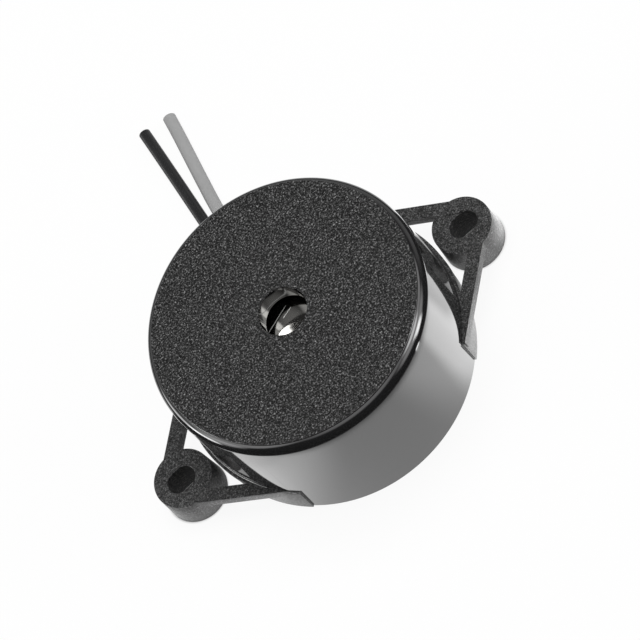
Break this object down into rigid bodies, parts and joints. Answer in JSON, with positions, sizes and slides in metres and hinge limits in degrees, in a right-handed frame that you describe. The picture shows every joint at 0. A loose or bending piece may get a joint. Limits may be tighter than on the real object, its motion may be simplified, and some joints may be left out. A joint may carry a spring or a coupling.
{
  "type": "piezo buzzer",
  "caption": "Round black piezo buzzer with a textured face and centre sound hole, slotted ears on either side, and a black and a grey lead from its foot",
  "frame": {"origin": "on the axis of the sound hole, in the mounting plane under the case", "axes": "+X through the screw slots of the two ears, +Y the way the leads leave, +Z out of the sound hole"},
  "size_m": [0.045, 0.0533, 0.0145],
  "materials": {
    "case_plastic": "moulded black plastic, polished wall and edge, finely textured face and ears",
    "cover_plastic": "moulded black plastic, plain satin",
    "plate_metal": "bright rolled metal plate",
    "piezo_ceramic": "fired ceramic, cream",
    "silver": "printed silver, matt",
    "adhesive": "cured silicone, off-white",
    "board_laminate": "green solder resist",
    "black_epoxy": "moulded epoxy, satin",
    "tinned_wire": "tinned wire",
    "ferrite": "sintered ferrite, dark grey",
    "copper_wire": "enamelled copper winding",
    "tan_enamel": "tan resistor coating",
    "blue_enamel": "light blue resistor coating",
    "white_sleeve": "white wire insulation",
    "red_sleeve": "red wire insulation",
    "blue_sleeve": "blue wire insulation",
    "solder": "bright solder",
    "black_sleeve": "soft black PVC, satin",
    "grey_sleeve": "soft grey PVC, satin"
  },
  "bodies": {
    "root": {"case": "case_plastic", "back_cover": "cover_plastic", "diaphragm": "plate_metal", "ceramic_disc": "piezo_ceramic", "main_electrode": "silver", "feedback_electrode": "silver", "diaphragm_bead": "adhesive", "circuit_board": "board_laminate", "transistor": "black_epoxy", "transistor_legs": "tinned_wire", "coil_core": "ferrite", "coil_winding": "copper_wire", "coil_pins": "tinned_wire", "bias_resistor": "tan_enamel", "load_resistor": "blue_enamel", "resistor_legs": "tinned_wire", "plate_wire": "white_sleeve", "main_wire": "red_sleeve", "feedback_wire": "blue_sleeve", "element_joints": "solder", "board_joints": "solder", "black_lead": "black_sleeve", "grey_lead": "grey_sleeve", "lead_joints": "solder"}
  },
  "joints": []
}
